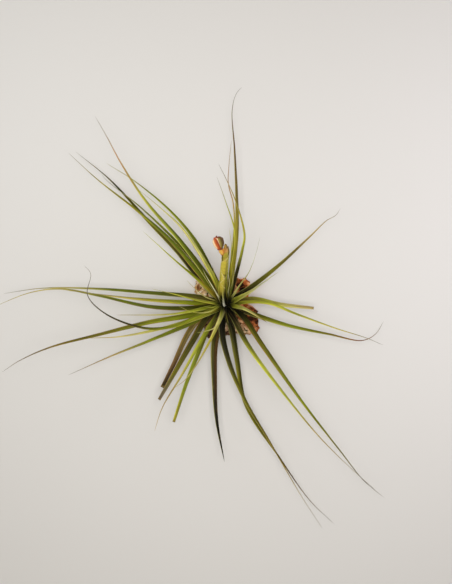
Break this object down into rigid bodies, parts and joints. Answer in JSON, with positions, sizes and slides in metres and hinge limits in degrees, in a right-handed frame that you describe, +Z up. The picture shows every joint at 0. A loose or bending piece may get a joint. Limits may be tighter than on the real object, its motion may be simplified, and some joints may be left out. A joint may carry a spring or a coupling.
{
  "type": "air plant mounted on cork bark",
  "caption": "Air plant with long narrow channelled leaves in an open rosette and a short yellow flower stalk, growing on a flat piece of cork bark.",
  "frame": {"origin": "on the underside of the cork bark, under the axis of the rosette's stem", "axes": "+Z up out of the bark along the stem; +X and +Y are right and up in the view from straight above"},
  "size_m": [0.5045, 0.5787, 0.1681],
  "materials": {
    "cork_bark": "rough, dry cork bark, pitted, orange-brown to grey",
    "stem": "dry, fibrous",
    "leaf_green": "matt green leaf with fine pale scales",
    "leaf_olive": "matt olive leaf with fine pale scales",
    "leaf_lime": "matt yellow-green leaf with fine pale scales",
    "leaf_pale": "pale, silvery leaf, matt",
    "leaf_dark": "dark olive leaf, matt",
    "flower_stalk": "yellow, satin, wrapped in bracts",
    "flower_cup": "orange bract with a red rim",
    "flower_spike": "dry red-orange and olive bracts with dark edges"
  },
  "bodies": {
    "root": {"cork_bark": "cork_bark", "stem": "stem", "leaf_upper_left_1": "leaf_dark", "leaf_upper_left_2": "leaf_lime", "leaf_upper_left_3": "leaf_green", "leaf_upper_left_4": "leaf_olive", "leaf_upper_left_5": "leaf_dark", "leaf_upper_left_6": "leaf_green", "leaf_upper_left_7": "leaf_lime", "leaf_upper_left_8": "leaf_pale", "leaf_upper_left_9": "leaf_lime", "leaf_upper_left_10": "leaf_pale", "leaf_top_1": "leaf_green", "leaf_top_2": "leaf_olive", "leaf_top_3": "leaf_dark", "leaf_top_4": "leaf_lime", "leaf_top_5": "leaf_lime", "leaf_top_6": "leaf_pale", "leaf_top_7": "leaf_pale", "leaf_top_8": "leaf_lime", "leaf_right_1": "leaf_dark", "leaf_right_2": "leaf_lime", "leaf_right_3": "leaf_pale", "leaf_right_4": "leaf_green", "leaf_right_5": "leaf_lime", "leaf_right_6": "leaf_green", "leaf_lower_right_1": "leaf_green", "leaf_lower_right_2": "leaf_green", "leaf_lower_right_3": "leaf_green", "leaf_lower_right_4": "leaf_dark", "leaf_lower_1": "leaf_dark", "leaf_lower_2": "leaf_lime", "leaf_lower_3": "leaf_green", "leaf_lower_4": "leaf_green", "leaf_lower_5": "leaf_dark", "leaf_lower_6": "leaf_olive", "leaf_lower_7": "leaf_lime", "leaf_left_1": "leaf_olive", "leaf_left_2": "leaf_lime", "leaf_left_3": "leaf_olive", "leaf_left_4": "leaf_green", "leaf_left_5": "leaf_lime", "leaf_left_6": "leaf_green", "leaf_left_7": "leaf_dark", "leaf_left_8": "leaf_olive", "leaf_left_9": "leaf_green", "leaf_left_10": "leaf_lime", "flower_stalk": "flower_stalk", "flower_cup": "flower_cup", "flower_spike": "flower_spike"}
  },
  "joints": []
}
